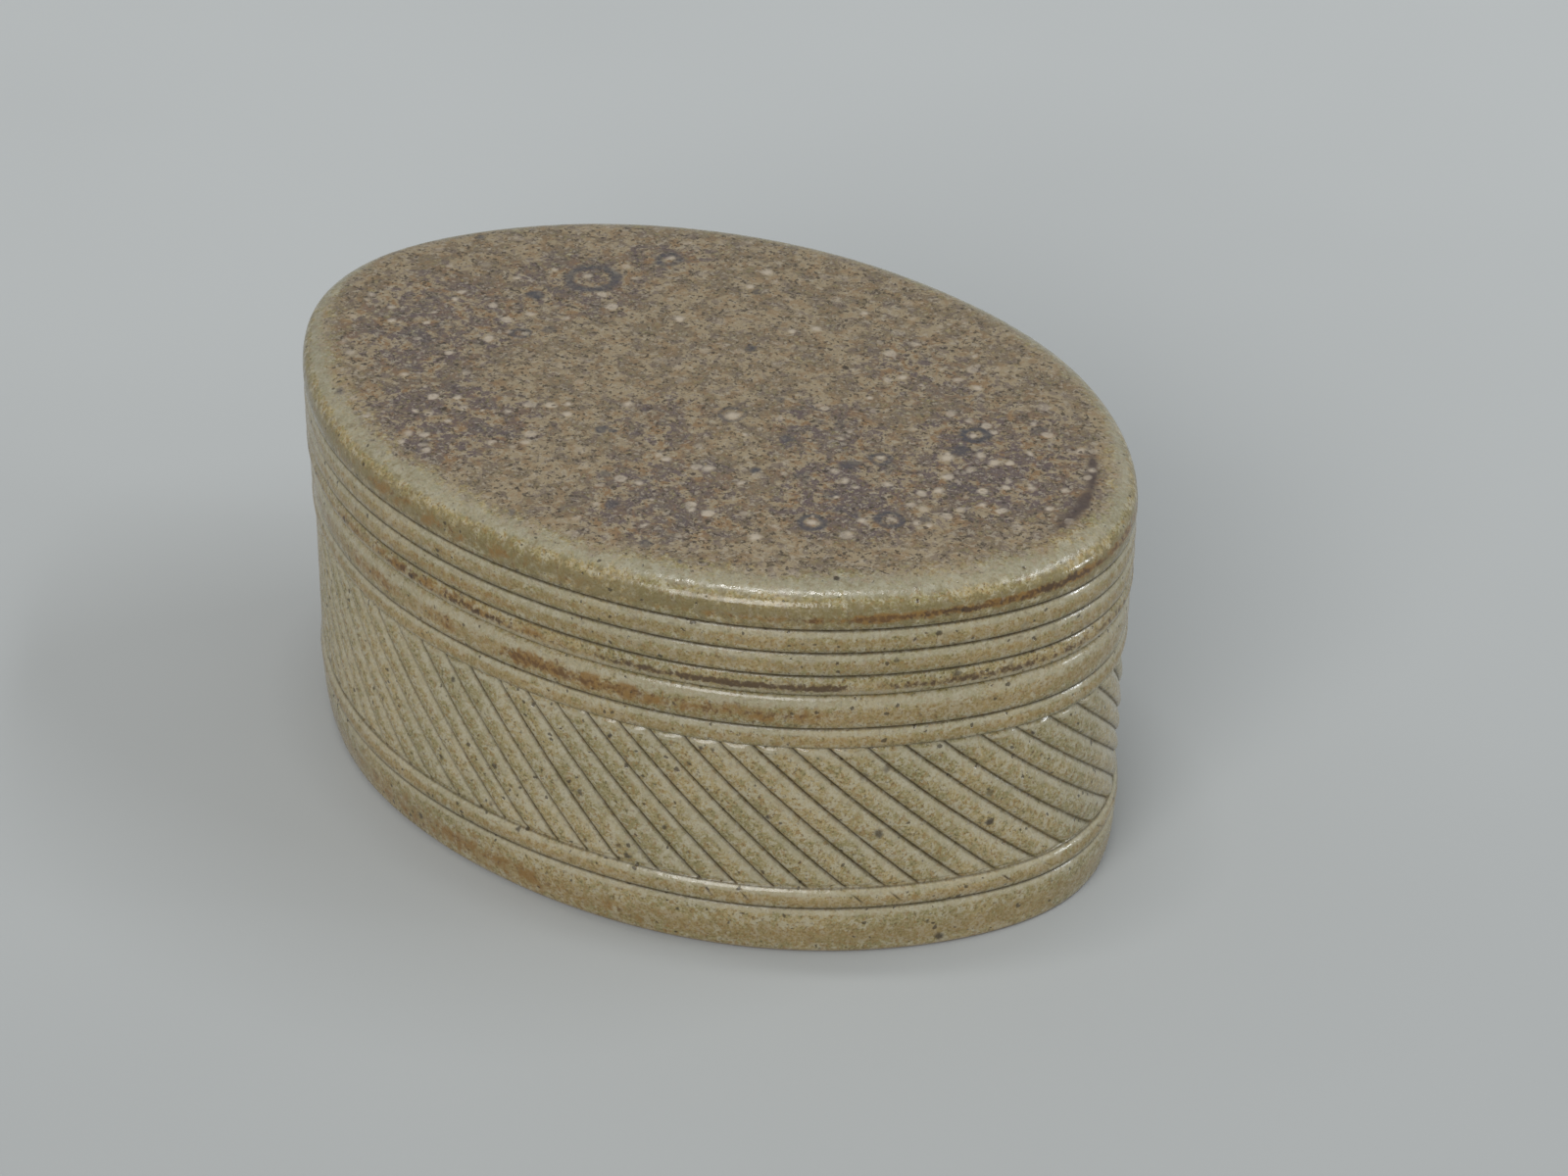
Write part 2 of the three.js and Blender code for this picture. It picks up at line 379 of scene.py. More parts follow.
class BodyShape:
    """Levels and insets of the body, worked out from the sizes."""

    def __init__(self, sizes):
        self.face = 0.6 * MM
        self.foot_face = 0.7 * MM
        self.panel_face = 0.8 * MM
        self.lower_line = sizes.foot_height
        self.panel_low = self.lower_line + sizes.lower_band
        self.panel_high = self.panel_low + sizes.panel_height
        self.upper_line = self.panel_high + sizes.upper_band
        self.seat = self.upper_line + sizes.roll_height
        flange_top = self.seat + sizes.flange_height
        cavity = self.face + sizes.body_wall
        flange = cavity - FLANGE_WALL
        floor = 6.5 * MM
        floor_round = 6.0 * MM
        rim = 1.0 * MM
        foot_round = 1.2 * MM
        foot_low = self.foot_face + sizes.foot_taper
        roll_round = 1.5 * MM
        end = 1.4 * MM
        self.panel_floor = self.panel_face + sizes.flute_depth
        self.steps = [
            Step(0, foot_low + foot_round, 0, kept=0.0),
            Step(0, foot_low + foot_round, 7),
            Step(foot_round, foot_low, 4, "under"),
            *incised(self.lower_line, sizes, self.foot_face, 8),
            Step(self.panel_low - sizes.line_under, self.face, 6, "swell"),
            Step(self.panel_low, self.panel_floor, 6, "cut_in"),
            Step(self.panel_low + end, self.panel_face, 4),
            Step(self.panel_high - end, self.panel_face, 27),
            Step(self.panel_high, self.panel_floor, 6),
            Step(self.panel_high + sizes.line_over, self.face, 3, "cut_out"),
            *incised(self.upper_line, sizes, self.face, 6),
            Step(self.seat - roll_round, self.face, 8, "swell"),
            Step(self.seat, self.face + roll_round, 5, "over"),
            Step(self.seat, flange, 2),
            Step(flange_top - rim, flange, 3),
            Step(flange_top, flange + rim, 3, "over"),
            Step(flange_top, cavity - rim, 1),
            Step(flange_top - rim, cavity, 3, "under"),
            Step(floor + floor_round, cavity, 6),
            Step(floor, cavity + floor_round, 5, "over"),
            Step(floor, cavity + floor_round, 10, kept=0.0),
        ]
        # Which steps end at the underside's edge and the seat, the panel's two edges, and the
        # bottoms of the lines
        self.underside, self.seat_step = 1, 16
        self.panel_start, self.panel_end = 7, 10
        self.lines = (4, 7, 10, 13)
        self.swell = 0.2 * MM
        self.edges = (0, self.lower_line, self.panel_low, self.panel_high, self.upper_line,
                      self.seat)


# Where a band is pale with a painted highlight and where it is warm: the middle and the spread, as
# shares of its height
PALE_SHARE, WARM_SHARE = (0.80, 0.16), (0.42, 0.25)


def band_share(z, edges):
    """How far up its band a height is, from 0 at the band's lower line to 1 at its upper."""
    index = np.clip(np.searchsorted(edges, z, side="right"), 1, len(edges) - 1)
    low, high = np.array(edges)[index - 1], np.array(edges)[index]
    return (z - low) / (high - low)


def flute_places(down, sizes, oval, column):
    """Places of the slanting columns. down is 0 at the panel's top and 1 at its bottom."""
    rng = np.random.default_rng(11)
    number = np.arange(FLUTES)
    begun = number / FLUTES
    # The cuts bunch and spread a little round the box, and lean further at one end
    start = 0.2 * np.cos(6 * np.pi * (begun - 0.04)) - 0.06 + rng.normal(0, 0.03, FLUTES)
    end_share = near_turn(begun, 0.97, 0.08)
    lean = 1 + 0.30 * end_share - 0.16 * near_turn(begun, 0.72, 0.04)
    lean += rng.normal(0, 0.012, FLUTES)
    bow = 0.02 + 0.10 * end_share + rng.normal(0, 0.03, FLUTES)
    flute = (column // len(ACROSS_SHARES)).astype(int) % FLUTES
    across = np.array(ACROSS_SHARES)[(column % len(ACROSS_SHARES)).astype(int)]

    def cut(number, turns):
        run = lean[number] * sizes.flute_lean / oval.perimeter
        return (turns + (number + start[number]) / FLUTES
                + run * (down - bow[number] * down * (1 - down)))

    here = cut(flute, 0)
    after = cut((flute + 1) % FLUTES, (flute + 1) // FLUTES)
    return here + (after - here) * across, across, flute


def carve_body(obj, sizes, oval, shape):
    """Gives the body's loops their shape, and their points what the glaze goes by."""
    mesh = obj.data
    column = np.round(read_points(mesh, "column"))
    level = read_points(mesh, "level")
    z, inset, kept = profile_at(shape.steps, level, shape.swell)
    top, bottom = shape.panel_high, shape.panel_low
    outside = (level > shape.underside) & (level <= shape.seat_step)
    down = np.clip((top - z) / (top - bottom), 0, (top - shape.lower_line) / (top - bottom))
    down = np.where(level < shape.panel_end + 0.5, down, 0)
    place, across, flute = flute_places(down, sizes, oval, column)
    flute_width = oval.perimeter / FLUTES

    # Ridges of the panel: each rises steeply from one cut and falls gently to the next, and
    # rounds over at both ends
    in_panel = (level >= shape.panel_start) & (level <= shape.panel_end)
    rising = bounded(1 - across / CREST_SHARE) ** 2.3
    falling = bounded((across - CREST_SHARE) / (1 - CREST_SHARE)) ** 2.4
    unevenly = 1 + 0.15 * np.sin(flute * 2.4) * np.sin(down * 5 + flute)
    depth = np.maximum(rising, falling) * sizes.flute_depth * unevenly
    end = np.minimum(z - bottom, top - z)
    rounding = np.sqrt(bounded(1 - bounded(end / FLUTE_END)))
    ridge = np.minimum(shape.panel_face + depth, shape.panel_floor)
    inset = np.where(in_panel, ridge + (shape.panel_floor - ridge) * rounding ** 2.5, inset)

    # Where a cut ran over the lower line of the panel it left a short tick, at the front right
    from_cut = np.minimum(across, 1 - across) * flute_width
    below = bottom - z
    tick_size = bounded(np.sin(flute * 1.7) + 0.45)
    tick = near(below, TICK_BELOW, TICK_LENGTH) * bounded(1 - from_cut / TICK_WIDTH)
    tick *= tick_size * ((below > 0.9 * MM) & (below < 3.3 * MM) & outside)
    tick *= bounded(1.6 - 9 * np.abs(turn_from(place, 0.93)))
    inset += tick * TICK_DEPTH

    # Lines and walls waver a little, as cut by hand
    wavering = np.where(outside, waver(place, 3, 0.07 * MM), 0)
    z += wavering * bounded((z - 1.5 * MM) / (2 * MM)) * (z < shape.seat - 2 * MM)
    uneven = waver(place, 5, 0.05 * MM, 2, 6) + waver(place + z * 3, 6, 0.025 * MM, 8, 20)
    inset += np.where(outside, uneven, 0)
    inset = np.where(outside, np.maximum(inset, 0.2 * MM), inset)

    x, y = oval.at_place(place, inset)
    settle(obj, x * kept, y * kept, z)

    # Dark lines in the flute cuts and at the flutes' upper ends, partly iron and partly painted
    # shade, fainter near the right end
    faint = 0.92 - 0.25 * near_turn(place, 0.0, 0.06)
    narrow = faint * bounded(1.40 - from_cut / (0.34 * MM))
    cut = line_dark(level, shape.lines, 1.7, 1.45)
    at_end = bounded(1 - np.minimum(end / (0.22 * MM), 1))
    cut = np.where(in_panel, np.maximum(narrow, np.where(down < 0.5, at_end, 0)), cut)

    share = band_share(z, shape.edges)
    in_bands = outside & ~in_panel
    # Pale strips at the top of each band, along each flute's flank and under the panel's top line
    # are painted highlights, where those faces lean up to the light
    pale = near(share, *PALE_SHARE) * in_bands * (z > shape.lower_line)
    pale += near(share, 0.93, 0.07) * in_bands * (z < shape.lower_line) * (z > 3 * MM)
    pale = np.where(in_panel, near(across, 0.82, 0.17), pale)
    under_line = near(top - z, 0.9 * MM, 0.45 * MM) * in_panel
    roll = (shape.upper_line + shape.seat) / 2
    patchy = np.clip(0.65 + waver(place, 23, 0.45, 6, 60), 0.1, 1.1)
    rust = near(z, roll - 0.2 * MM, 1.4 * MM) * near_turn(place, 0.72, 0.07) * patchy
    rust += 0.55 * near(z, roll - 0.6 * MM, 1.3 * MM) * near_turn(place, 0.81, 0.05)
    rust += 0.45 * near(z, 4 * MM, 3 * MM) * near_turn(place, 0.70, 0.06)
    rust += 0.25 * near(z, 3 * MM, 3 * MM) * near_turn(place, 0.79, 0.05)
    patches = bounded(waver(place, 21, 0.6, 3, 14))
    rust += 0.35 * near(z, roll - 0.4 * MM, 1.5 * MM) * patches
    write_points(
        mesh, cut=np.maximum(cut, tick), film=bounded(np.maximum(pale, under_line)),
        warm=near(share, *WARM_SHARE) * in_bands, rust=bounded(rust) * outside,
        bare=bounded((0.9 * MM - z) / (0.7 * MM)) * outside + (level <= shape.underside),
        # seam: painted shade on the seat, where the lid sits over it
        seam=near(z, shape.seat, 0.5 * MM) * (inset > shape.face + 0.9 * MM))


class LidShape:
    """Levels and insets of the lid, worked out from the sizes."""

    def __init__(self, sizes, body):
        self.low = lid_low[2]
        self.high = lid_high[2]
        self.face = 0.2 * MM
        inner = body.face + sizes.body_wall - FLANGE_WALL - LID_ROOM
        under = self.high - 6.0 * MM
        inner_round = 3.0 * MM
        edge = 0.8 * MM
        first = self.low + sizes.skirt_height
        self.line_levels = [first + sizes.lid_band * number for number in range(3)]
        self.swell = 0.18 * MM
        self.dome = 0.4 * MM
        self.run = 5.5 * MM
        drop = 3.1 * MM
        self.rim = self.high - self.dome
        self.steps = [
            Step(under, inner + inner_round, 0, kept=0.0),
            Step(under, inner + inner_round, 12),
            Step(under - inner_round, inner, 5, "under"),
            Step(self.low, inner, 5),
            Step(self.low, self.face + edge, 2),
            Step(self.low + edge, self.face, 4, "under"),
        ]
        # Which step ends the underside, and which ones lie at the bottoms of the lines
        self.underside = 4
        self.lines = []
        for number, level in enumerate(self.line_levels):
            self.steps += incised(level, sizes, self.face, 7 if number else 5)
            self.lines.append(len(self.steps) - 2)
        self.steps.append(Step(self.rim - drop, self.face, 7, "swell"))
        self.steps.append(Step(self.rim, self.face + self.run, 12, "over"))
        self.shoulder = len(self.steps) - 1
        self.steps.append(Step(self.high, self.face + self.run, 40, kept=0.0))
        self.edges = (self.low, *self.line_levels, self.high)


def carve_lid(obj, oval, shape):
    """Gives the lid's loops their shape, and their points what the glaze goes by."""
    mesh = obj.data
    place = read_points(mesh, "column") / LID_COLUMNS
    level = read_points(mesh, "level")
    z, inset, kept = profile_at(shape.steps, level, shape.swell)
    on_top = level > shape.shoulder
    outside = level > shape.underside
    side = outside & ~on_top
    z = np.where(on_top, shape.rim + shape.dome * (1 - kept ** 2), z)
    z += np.where(side, waver(place, 9, 0.06 * MM) * (z > shape.low + 2 * MM), 0)
    inset += np.where(outside, waver(place, 14, 0.05 * MM, 2, 6), 0)
    inset = np.maximum(inset, 0.02 * MM)
    x, y = oval.at_place(place, inset)
    x, y = x * kept, y * kept
    relief = 0.05 * np.sin(x * 95 + 1) * np.sin(y * 120) + 0.04 * np.sin(x * 210 + y * 160)
    z += np.where(on_top, relief * MM * bounded((1 - kept) * 12), 0)
    z = np.minimum(z, shape.high)
    settle(obj, x, y, z)

    first, second, third = shape.line_levels
    share = band_share(z, shape.edges)
    below_shoulder = side & (z < third)
    # Pale strips at the tops of the bands are painted highlights where the faces lean up to the
    # light; a paler line also runs just above the lower edge
    pale = near(share, *PALE_SHARE) * below_shoulder * (z > first)
    pale += 0.6 * near(z, shape.low + 0.9 * MM, 0.5 * MM) * side
    # The glaze is pale over the shoulder and for a few millimetres onto the flat top, and its
    # cooler grey there is partly a painted reflection of the window
    in_from_edge = np.where(on_top, shape.run + (1 - kept) * SHOULDER_TO_MIDDLE, inset)
    reach = 2.8 + 2.6 * near_turn(place, 0.90, 0.13)
    reach = (reach + 2.0 * near_turn(place, 0.66, 0.10)) * MM
    reach += waver(place, 41, 0.35 * MM, 4, 24)
    fade = 2.8 * MM
    over = bounded((reach - in_from_edge) / fade + 0.5)
    over *= bounded((in_from_edge - 0.9 * MM) / (1.0 * MM))
    dry = bounded((in_from_edge - reach + fade) / (2 * fade))
    dry *= bounded(in_from_edge / (2 * MM) - 0.5)
    streaks = 0.35 + np.abs(waver(place, 33, 0.5, 5, 40))
    streak = third + (2.3 + 6 * turn_from(place, 0.92)) * MM
    rust = 3.0 * near(z, streak, 0.62 * MM) * near_turn(place, 0.95, 0.085) * streaks
    patchy = np.clip(0.75 + waver(place, 24, 0.4, 6, 60), 0.1, 1.1)
    rust += near(z, first - 1.7 * MM, 1.0 * MM) * near_turn(place, 0.705, 0.06) * patchy
    rust += 0.3 * near(z, second - 2.2 * MM, 1.0 * MM) * near_turn(place, 0.72, 0.08)
    rust += 0.35 * near(z, third + 2.4 * MM, 1.8 * MM) * near_turn(place, 0.70, 0.09)
    stain = near(z, first - 2.0 * MM, 0.55 * MM) * (1.3 + waver(place, 31, 0.5, 3, 40))
    stain *= 0.35 + 0.65 * near_turn(place, 0.875, 0.06)
    blots = bounded(waver(place, 52, 0.9, 12, 90)) * near_turn(place, 0.985, 0.045)
    stain += 1.5 * near(z, streak + 0.2 * MM, 0.7 * MM) * blots
    core = np.clip(0.40 + waver(place, 57, 0.5, 8, 70), 0, 1.3)
    stain += near(z, streak - 0.1 * MM, 0.6 * MM) * near_turn(place, 0.945, 0.08) * core
    # A thin dark line and smudges where stain gathered inside the rim at one end
    line = near(in_from_edge, 6.3 * MM, 0.55 * MM) * near_turn(place, 0.085, 0.065)
    smudge = near(in_from_edge, 6.6 * MM, 1.6 * MM) * near_turn(place, 0.005, 0.022)
    smudge += 0.8 * near(in_from_edge, 6.3 * MM, 1.2 * MM) * near_turn(place, 0.045, 0.015)
    above = outside & (z > third)
    write_points(
        mesh, cut=line_dark(level, shape.lines, 1.75, 1.5), film=bounded(pale), mist=over * above,
        warm=near(share, *WARM_SHARE) * below_shoulder,
        mustard=near(z, third + 2.7 * MM, 2.2 * MM) * (side & above), top=dry * above,
        rust=bounded(rust) * side, stain=bounded(stain) * side,
        smudge=bounded(line * 0.75 + smudge) * on_top,
        # seam: painted shade along the lid's lower edge, where it meets the body
        seam=near(z, shape.low, 0.35 * MM) * outside, bare=np.zeros_like(level))


class Nodes:
    """Short calls for building one material's node tree."""

    def __init__(self, material):
        material.use_nodes = True
        self.tree = material.node_tree
        self.tree.nodes.clear()
        self.place = self.add("TexCoord", {})["Object"]

    def plug(self, socket, value):
        if isinstance(value, bpy.types.NodeSocket):
            self.tree.links.new(value, socket)
        elif hasattr(socket.default_value, "__len__") and len(value) < len(socket.default_value):
            socket.default_value = (*value, 1.0)
        else:
            socket.default_value = value

    def add(self, kind, inputs, **settings):
        """A new node with its settings made and its inputs plugged. Gives its outputs."""
        node = self.tree.nodes.new("ShaderNode" + kind)
        for name, value in settings.items():
            setattr(node, name, value)
        for name, value in inputs.items():
            self.plug(node.inputs[name], value)
        return node.outputs

    def finish(self, inputs):
        """The shader, and the material's output."""
        self.add("OutputMaterial", {"Surface": self.add("BsdfPrincipled", inputs)["BSDF"]})

    def noise(self, scale, detail=2.0, roughness=0.5, distortion=0.0, offset=None, result="Fac"):
        place = self.shifted(self.place, offset) if offset else self.place
        return self.add("TexNoise", {"Vector": place, "Scale": scale, "Detail": detail,
                                     "Roughness": roughness, "Distortion": distortion})[result]

    def cells(self, scale, place):
        """Distance from the middle of scattered dots, and two random numbers for each dot."""
        dots = self.add("TexVoronoi", {"Vector": place, "Scale": scale})
        split = self.add("SeparateColor", {0: dots["Color"]})
        return dots["Distance"], split[0], split[1]

    def vector(self, operation, first, second, result="Vector"):
        return self.add("VectorMath", {0: first, 1: second}, operation=operation)[result]

    def shifted(self, place, offset):
        return self.vector("ADD", place, offset)

    def stirred(self, scale, amount):
        """The place, pushed about by noise, so that shapes on it get uneven edges."""
        push = self.vector("SUBTRACT", self.noise(scale, 3, result="Color"), (0.5, 0.5, 0.5))
        return self.vector("ADD", self.place, self.vector("MULTIPLY", push, (amount,) * 3))

    def distance(self, place, point):
        return self.vector("DISTANCE", place, point, "Value")

    def attribute(self, name):
        return self.add("Attribute", {}, attribute_name=name)["Fac"]

    def math(self, operation, first, second=0.0, clamp=False):
        return self.add("Math", {0: first, 1: second}, operation=operation, use_clamp=clamp)[0]

    def times(self, first, second):
        return self.math("MULTIPLY", first, second)

    def most(self, first, *others):
        """The greatest of several values."""
        for other in others:
            first = self.math("MAXIMUM", first, other)
        return first

    def between(self, value, low, high, to_low=0.0, to_high=1.0):
        """Maps low..high onto to_low..to_high, with soft ends."""
        inputs = {"Value": value, "From Min": low, "From Max": high, "To Min": to_low,
                  "To Max": to_high}
        return self.add("MapRange", inputs, interpolation_type="SMOOTHSTEP")["Result"]

    def mixed(self, factor, first, second, blend="MIX"):
        """Two colours mixed. They are the seventh and eighth inputs, and the third result."""
        return self.add("Mix", {0: factor, 6: first, 7: second}, data_type="RGBA",
                        blend_type=blend)[2]

    def bump(self, height, distance, strength, under=None):
        inputs = {"Strength": strength, "Distance": distance, "Height": height}
        if under is not None:
            inputs["Normal"] = under
        return self.add("Bump", inputs)["Normal"]


def ground_colour(nodes, colours):
    """Tan and olive glaze, mottled by a pale salt film and fine brown grains."""
    broad = nodes.noise(70, 3, 0.55, 0.4)
    medium = nodes.noise(700, 3, 0.62, 0.4)
    grains = nodes.noise(1300, 2.5, 0.6, offset=(0.31, 0.17, 0.05))
    fine = nodes.noise(2300, 2, 0.6, offset=(0.11, 0.47, 0.25))
    ground = nodes.mixed(nodes.between(broad, 0.38, 0.62, 0.25, 1.0), colours.olive, colours.tan)
    # Where each layer begins and is full on its noise, and its strength
    for noise, low, high, strength, layer in (
            (medium, 0.50, 0.59, 0.64, colours.film), (medium, 0.47, 0.39, 0.78, colours.olive),
            (fine, 0.53, 0.64, 0.55, colours.film), (grains, 0.54, 0.64, 0.75, colours.ochre),
            (fine, 0.44, 0.33, 0.55, colours.umber)):
        ground = nodes.mixed(nodes.between(noise, low, high, 0, strength), ground, layer)
    return ground


def broken_up(nodes, mask, noise, amount, strength):
    """A soft mask with its edges broken up by noise, up to the strength."""
    shift = nodes.times(nodes.math("SUBTRACT", noise, 0.5), amount)
    return nodes.between(nodes.math("ADD", mask, shift), 0.15, 0.95, 0, strength)


def specks(nodes, scale, radius_share, kept_share, offset, place):
    """Scattered dots: only some of the cells hold one, and their sizes differ."""
    distance, chance, size = nodes.cells(scale, nodes.shifted(place, offset))
    held = nodes.math("LESS_THAN", chance, kept_share)
    radius = nodes.times(nodes.math("ADD", size, 0.35), radius_share)
    inner = nodes.math("SUBTRACT", radius, distance)
    dot = nodes.math("MULTIPLY", inner, 2.2 / radius_share, clamp=True)
    return nodes.times(dot, held)


# Marks on the lid's top, in mm from its middle. Rings: place, radius, width and strength
RINGS = (
    (-37.5, 19, 4, 1.5, 0.85), (42.3, 12.8, 2, 1, 0.95), (-36.3, -2.7, 1.4, 0.8, 0.8),
    (44.8, -16.3, 1.9, 0.9, 0.85), (35.3, -23.8, 1.8, 0.9, 0.85), (-30.7, 32, 1.8, 1.1, 0.7),
    (34, -2.2, 1.5, 0.7, 0.7), (7.2, -4.3, 2, 0.7, 0.55),
)
# Purple-brown bloom and dark blots: place, radius and strength
BLOOM = (
    (-50, -8, 25, 0.85), (-38, 16, 17, 0.7), (-30, -32, 22, 0.9), (50, 6, 24, 1),
    (36, -14, 20, 1), (12, -32, 20, 0.8), (-31, 31, 10, 0.6), (26, 24, 16, 0.6), (22, 0, 15, 0.8),
    (0, -14, 14, 0.6),
)
BLOTS = (
    (-42, 9, 2.2, 0.95), (43, 7.2, 2.3, 0.8), (18.7, -5.5, 1.8, 0.8), (-2.2, 14.8, 1.4, 0.8),
    (19.8, -16.3, 1.3, 0.95), (31, -6.4, 2.1, 0.75), (-7.3, -20, 1.5, 0.85),
    (-5.4, -19.4, 1, 0.8), (7, -37.2, 1.7, 0.75), (17.5, -43.2, 1.5, 0.7),
    (24.5, -44.7, 1.3, 0.7), (-4.7, -47.5, 1.3, 0.7), (27, -13.5, 2, 0.55), (22.8, 3.2, 1.6, 0.5),
    (50, 20, 1.8, 0.5), (-33, 1, 1.6, 0.5), (11, 3.8, 1.3, 0.6), (-49.7, -33.8, 1.4, 0.8),
    (-62, 20, 1.2, 0.8), (1, -30.5, 1.5, 0.6), (49.5, -13, 1.4, 0.5), (33.5, -15.5, 1.7, 0.55),
    (-12, 31, 1.1, 0.6),
)
# Cream dots: place and radius
CREAM_DOTS = (
    (7.4, -4.6, 1.8), (42.3, 4.3, 1.7), (46.2, 8.2, 1.3), (49.2, 7.3, 1.5), (47.2, 3.7, 1.2),
    (42.3, 12.6, 1), (44.9, -16.2, 1.1), (35.3, -23.8, 1.2), (34, -1.9, 1), (-38.8, 3.3, 1.3),
    (-35.6, -2.4, 1), (-17.5, 16.2, 1.3), (-18.5, -18.5, 1.5), (-16.2, -16.8, 1.1),
    (-14.7, -19.4, 1.1), (-19.7, -33, 1.2), (-15, -29.7, 1.2), (-8.3, -11.3, 1.4),
    (0.3, 23.2, 1.1), (2.8, 26.5, 1.2), (6.5, 35.3, 1.2), (19, 31.5, 1.2), (23, 21.2, 1.2),
    (22.5, 12.7, 0.9), (34.7, 25.3, 1.1), (39.3, 16, 1), (48.2, 21.2, 1), (58.7, 18.3, 1.3),
    (63, 14.5, 1.1), (62.5, 6.7, 1.2), (58.2, 4.3, 1.3), (54, 4, 1.1), (63.5, 0.7, 1.1),
    (54.2, -4, 1), (46.5, -4.7, 1.2), (39, -7.7, 1.2), (48.7, -14.7, 1.1), (50.8, -14.3, 0.9),
    (41.5, -18.8, 1.3), (30, -9.3, 1.2), (32.7, -10.8, 1.4), (25.3, -0.5, 1), (19.8, -20.5, 1.1),
    (13.2, -20, 1.5), (6.2, -21.3, 1.2), (17.8, -31.3, 1.2), (7, -29.7, 1.1), (30.3, -32.2, 1.5),
    (-29.7, -27.2, 1.1), (-32.2, -38.3, 1.3), (-28, -39.7, 1.1), (-63, -14, 1.1), (-65, -6, 1),
    (-59.7, 8.7, 1), (-48, 12, 1.1), (-52.2, 0.3, 1), (-56.7, -11.3, 1), (-13.8, 32, 1.2),
    (-14.7, 37.8, 1.4), (-30.7, 32.5, 1.1), (-32.7, 15.3, 1), (12.5, -8, 0.9), (29, 34, 1),
    (52.5, 13, 1), (-44, -24, 1.1),
)


def spots(nodes, at, marks, hard):
    """Round soft spots, full up to the hard share of the radius, the strongest on top."""
    return nodes.most(*(
        nodes.between(nodes.distance(at, point), radius * MM, radius * hard * MM, 0, strength)
        for point, radius, strength in marks))


def at_height(marks, height):
    """Marks in mm from the lid's middle as points at its top's height. Radius and strength stay."""
    return [((x * MM, y * MM, height), radius, *(strength or [1.0]))
            for x, y, radius, *strength in marks]


def top_marks(nodes, ground, colours, top_height):
    """Dry ground, purple-brown bloom, slate rings and blots, and cream dots on the lid's top."""
    at = nodes.stirred(330, 0.0016)
    soft = nodes.stirred(55, 0.018)
    coarse = nodes.noise(270, 5, 0.66, 0.3, offset=(0.5, 0.2, 0.1))
    brown = nodes.noise(360, 4, 0.68, 0.2, offset=(0.3, 0.4, 0.2))
    grit = nodes.noise(950, 3, 0.65, 0.2, offset=(0.8, 0.3, 0.6))
    pepper = nodes.noise(1250, 3, 0.65, 0.1, offset=(0.2, 0.7, 0.9))
    edge = nodes.times(nodes.math("ADD", grit, coarse), 0.5)
    top = broken_up(nodes, nodes.attribute("top"), edge, 4.0, 1.0)
    dry = nodes.mixed(nodes.between(coarse, 0.46, 0.55), colours.dust, colours.sand)
    bloom = nodes.most(spots(nodes, soft, at_height(BLOOM, top_height), 0.3), 0.14)
    spread = nodes.math("ADD", bloom, 0.38, clamp=True)
    russet = nodes.times(spread, nodes.between(brown, 0.51, 0.58, 0, 0.90))
    patches = nodes.times(bloom, nodes.between(coarse, 0.56, 0.44, 0.10, 1.0))
    flecks = nodes.times(spread, nodes.between(brown, 0.46, 0.40, 0, 0.85))
    haze = nodes.between(nodes.noise(190, 4, 0.6, offset=(0.1, 0.9, 0.4)), 0.54, 0.64)
    for mask, layer in (
            (russet, colours.russet), (nodes.times(patches, 0.95), colours.plum),
            (flecks, colours.plum), (nodes.times(haze, nodes.times(bloom, 0.45)), colours.slate),
            (nodes.between(grit, 0.54, 0.64, 0, 0.60), colours.pale),
            (nodes.between(pepper, 0.45, 0.37, 0, 0.85), colours.umber)):
        dry = nodes.mixed(mask, dry, layer)
    ground = nodes.mixed(nodes.times(top, 0.95), ground, dry)
    dark = spots(nodes, at, at_height(BLOTS, top_height), 0.45)
    for x, y, radius, width, strength in RINGS:
        away = nodes.distance(at, (x * MM, y * MM, top_height))
        off = nodes.math("ABSOLUTE", nodes.math("SUBTRACT", away, radius * MM))
        dark = nodes.most(dark, nodes.between(off, width * MM, 0.2 * MM, 0, strength))
    dark = nodes.times(dark, nodes.between(grit, 0.36, 0.60, 1.0, 0.75))
    ground = nodes.mixed(nodes.times(dark, top), ground, colours.slate)
    smudge = broken_up(nodes, nodes.attribute("smudge"), coarse, 1.8, 0.9)
    ground = nodes.mixed(smudge, ground, colours.smoke)
    small = specks(nodes, 300, 0.29, 0.7, (0.2, 0.6, 0.0), at)
    small = nodes.times(small, nodes.math("ADD", bloom, 0.15, clamp=True))
    dots = nodes.most(spots(nodes, at, at_height(CREAM_DOTS, top_height), 0.15), small)
    dots = nodes.times(dots, top)
    ground = nodes.mixed(nodes.times(dots, 0.82), ground, colours.cream)
    return ground, dots, top


